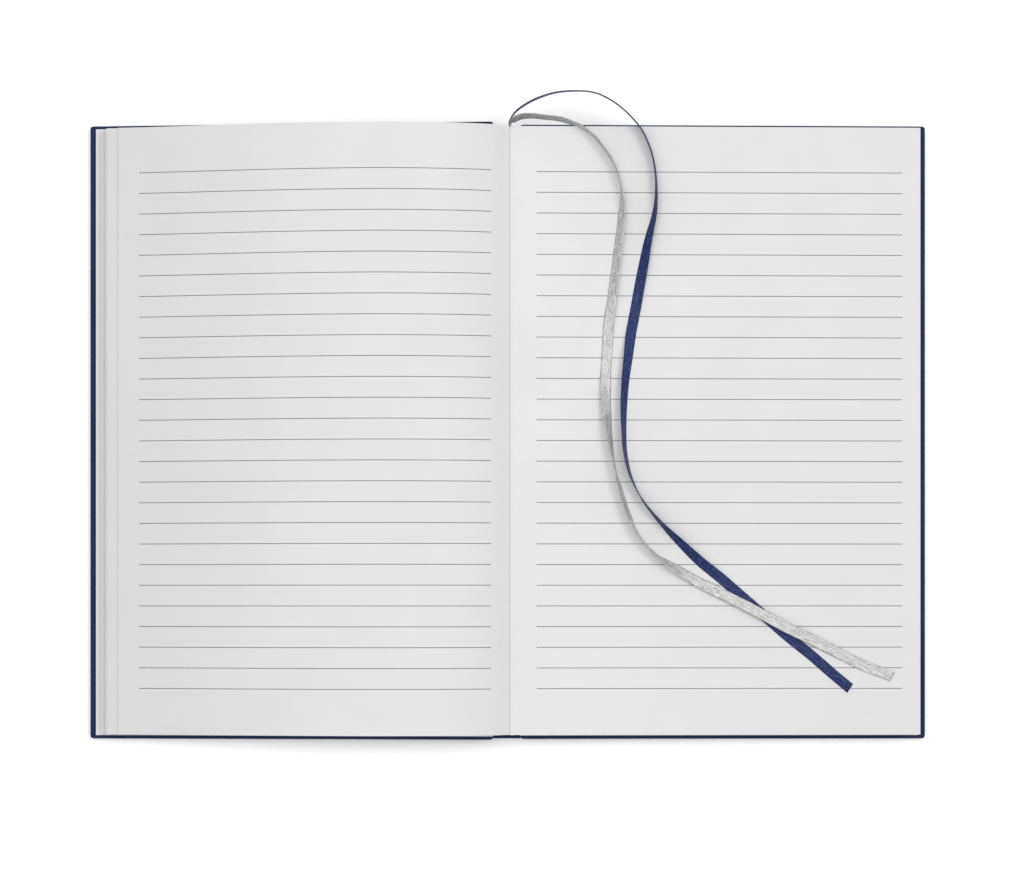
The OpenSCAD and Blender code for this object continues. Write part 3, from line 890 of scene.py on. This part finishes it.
def clothPiece(name, node, path):
    values = clothValues
    line = smoothLine(path, 6)
    last = len(line) - 1
    section = []
    for face in (1, -1):
        for i in (range(last + 1) if face == 1 else range(last, -1, -1)):
            a, b = line[max(i - 1, 0)], line[min(i + 1, last)]
            run = Vector((b[0] - a[0], b[1] - a[1])).normalized()
            away = values["thickness"] / 2 * face
            section.append((line[i][0] - run.y * away, line[i][1] + run.x * away, i / last))
    points, faces = [], []
    for j in range(values["rows"] + 1):
        y = (j / values["rows"] - 0.5) * values["length"]
        ripple = values["wrinkle"] * (math.sin(y * 0.9) + math.sin(y * 0.37 + 2))
        for x, z, along in section:
            wave = ripple * math.sin(along * math.pi)
            points.append((x + wave * 0.5, y, z + wave * 0.4))
    count = len(section)
    for j in range(values["rows"]):
        for k in range(count):
            a, b = j * count + k, j * count + (k + 1) % count
            faces.append((a, b, b + count, a + count))
    faces.append(tuple(range(count)))
    faces.append(tuple(range(values["rows"] * count, (values["rows"] + 1) * count)))
    piece = addMesh(name, [Vector(p) * mm for p in points], faces)
    fixNormals(piece)
    piece.data.set_sharp_from_angle(angle=math.radians(60))
    piece.data.materials.append(navyCover)
    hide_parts(node)
    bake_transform(piece)


clothPiece("frontJointCloth", "front_joint_cloth", frontClothPath)
clothPiece("backJointCloth", "back_joint_cloth", backClothPath)
print("covers made")


def makeRepeatTree():
    # repeats a piece along a line, with a little seeded unevenness
    tree = bpy.data.node_groups.new("repeatedAlongLine", "GeometryNodeTree")
    addSockets(tree, [("Geometry", "Geometry"), ("Count", "Int", 6), ("Start", "Vector"),
                      ("Step", "Vector"), ("Unevenness", "Float", 0.1 * mm), ("Tilt", "Float", 0.0),
                      ("Seed", "Int", 1), ("Material", "Material")], [("Geometry", "Geometry")])
    link = tree.links.new
    given, result = addNode(tree, "NodeGroupInput"), addNode(tree, "NodeGroupOutput")
    row = addNode(tree, "GeometryNodeMeshLine")
    link(given.outputs["Count"], row.inputs["Count"])
    link(given.outputs["Start"], row.inputs["Start Location"])
    link(given.outputs["Step"], row.inputs["Offset"])
    random = addNode(tree, "FunctionNodeRandomValue", {0: (-1, -1, -1), 1: (1, 1, 1)},
                     data_type="FLOAT_VECTOR")
    link(given.outputs["Seed"], random.inputs["Seed"])

    def scaled(amount):
        node = addNode(tree, "ShaderNodeVectorMath", operation="SCALE")
        link(random.outputs[0], node.inputs[0])
        link(given.outputs[amount], node.inputs["Scale"])
        return node.outputs[0]

    placed = addNode(tree, "GeometryNodeSetPosition")
    link(row.outputs[0], placed.inputs["Geometry"])
    link(scaled("Unevenness"), placed.inputs["Offset"])
    copies = addNode(tree, "GeometryNodeInstanceOnPoints")
    link(placed.outputs[0], copies.inputs["Points"])
    link(given.outputs["Geometry"], copies.inputs["Instance"])
    link(scaled("Tilt"), copies.inputs["Rotation"])
    real = addNode(tree, "GeometryNodeRealizeInstances")
    link(copies.outputs[0], real.inputs[0])
    dressed = addNode(tree, "GeometryNodeSetMaterial")
    link(real.outputs[0], dressed.inputs["Geometry"])
    link(given.outputs["Material"], dressed.inputs["Material"])
    link(dressed.outputs[0], result.inputs[0])
    return tree


repeatTree = makeRepeatTree()
# in millimetres; a stitch dips into the paper over the last part of its length, from dipFrom on
stitchValues = dict(count=6, pitch=34.0, length=16.0, height=9.3, ply=0.085, twist=1.1, dip=0.55,
                    dipFrom=0.86, steps=96, sides=6, uneven=0.06, tilt=0.004, seed=7)


def tubePoints(line, radius, sides):
    points, faces = [], []
    last = len(line) - 1
    for i, centre in enumerate(line):
        run = (line[min(i + 1, last)] - line[max(i - 1, 0)]).normalized()
        side = run.cross(Vector((0.31, 0.12, 0.94))).normalized()
        up = side.cross(run)
        for k in range(sides):
            a = 2 * math.pi * k / sides
            points.append(centre + (side * math.cos(a) + up * math.sin(a)) * radius)
    for i in range(last):
        for k in range(sides):
            a, b = i * sides + k, i * sides + (k + 1) % sides
            faces.append((a, b, b + sides, a + sides))
    faces.append(tuple(reversed(range(sides))))
    faces.append(tuple(range(last * sides, (last + 1) * sides)))
    return points, faces


def stitchPiece():
    values = stitchValues
    points, faces = [], []
    for ply in (0, math.pi):
        line = []
        for i in range(values["steps"] + 1):
            t = i / values["steps"]
            y = (t - 0.5) * values["length"]
            pastDip = max(0, abs(2 * t - 1) - values["dipFrom"]) / (1 - values["dipFrom"])
            a = ply + 2 * math.pi * y / values["twist"]
            x, z = math.cos(a) * values["ply"], math.sin(a) * values["ply"]
            line.append(Vector((x, y, z - values["dip"] * pastDip)) * mm)
        more, moreFaces = tubePoints(line, values["ply"] * 1.05 * mm, values["sides"])
        faces += [tuple(v + len(points) for v in face) for face in moreFaces]
        points += more
    piece = addMesh("sewingThread", points, faces)
    first = -values["pitch"] * (values["count"] - 1) / 2
    growPiece(piece, repeatTree, {
        "Count": values["count"],
        "Start": (pageValues["gutterX"] * mm, first * mm, values["height"] * mm),
        "Step": (0, values["pitch"] * mm, 0), "Unevenness": values["uneven"] * mm,
        "Tilt": values["tilt"], "Seed": values["seed"], "Material": cottonThread})
    fixNormals(piece)
    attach(piece, "back_half")
    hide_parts("sewing_thread")


# in millimetres; gap keeps the thread clear of the end of the folds
bandValues = dict(turns=17, tube=0.085, round=0.21, gap=0.01, steps=24, sides=8, uneven=0.02,
                  tilt=0.05)


def bandPiece(name, node, seed):
    # a round of thread for each turn, wound on a core
    values = bandValues
    low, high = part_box(node)
    middle = (low + high) / 2
    reach = (values["tube"] + values["round"] + values["gap"]) * mm
    middle.y = low.y + reach if middle.y > 0 else high.y - reach
    turns = [2 * math.pi * k / values["steps"] for k in range(values["steps"] + 1)]
    ring = [Vector((math.cos(a), math.sin(a), 0)) * values["round"] * mm for a in turns]
    points, faces = tubePoints(ring, values["tube"] * mm, values["sides"])
    piece = addMesh(name, points, faces)
    rise = (high.z - low.z - 2 * values["tube"] * mm) / (values["turns"] - 1)
    growPiece(piece, repeatTree, {
        "Count": values["turns"], "Start": (middle.x, middle.y, low.z + values["tube"] * mm),
        "Step": (0, 0, rise), "Unevenness": values["uneven"] * mm, "Tilt": values["tilt"],
        "Seed": seed, "Material": cottonThread})
    fixNormals(piece)
    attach(piece, "back_half")
    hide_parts(node)


stitchPiece()
bandPiece("headBand", "head_band", 3)
bandPiece("tailBand", "tail_band", 4)

for material, nodes in ((greyCard, ("spine_strip", "front_board", "back_board")),
                        (endPaper, ("front_pastedown", "back_pastedown")),
                        (linenCloth, ("front_lining", "back_lining"))):
    for node in nodes:
        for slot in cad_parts[node].material_slots:
            slot.material = material
print("small pieces made")


lightValues = dict(world=0.72, key=dict(place=(0.95, 0.35, 1.4), size=0.6, power=7.5),
                   fill=dict(place=(-0.3, 0.12, 1.45), size=1.0, power=7.8))
floorValues = dict(reach=6, tone=0.97, roughness=0.9)


def areaLight(name, place, size, power):
    data = bpy.data.lights.new(name, "AREA")
    data.shape = "SQUARE"
    data.size = size
    data.energy = power
    light = bpy.data.objects.new(name, data)
    light.location = place
    light.rotation_euler = (-Vector(place)).to_track_quat("-Z", "Y").to_euler()
    bpy.context.scene.collection.objects.link(light)


areaLight("keyLight", **lightValues["key"])
areaLight("fillLight", **lightValues["fill"])
world = bpy.data.worlds.new("studio")
world.use_nodes = True
background = world.node_tree.nodes["Background"]
background.inputs["Color"].default_value = (1, 1, 1, 1)
background.inputs["Strength"].default_value = lightValues["world"]
bpy.context.scene.world = world
bpy.context.scene.view_settings.view_transform = "Standard"

far = floorValues["reach"]
floor = addMesh("floor", [(-far, -far, 0), (far, -far, 0), (far, far, 0), (-far, far, 0)],
                [(0, 1, 2, 3)], smooth=False)
floorMaterial = bpy.data.materials.new("floor")
floorMaterial.use_nodes = True
floorShader = floorMaterial.node_tree.nodes["Principled BSDF"]
floorShader.inputs["Base Color"].default_value = (floorValues["tone"],) * 3 + (1,)
floorShader.inputs["Roughness"].default_value = floorValues["roughness"]
floorShader.inputs["Specular IOR Level"].default_value = 0.0
floor.data.materials.append(floorMaterial)

print("scene made")
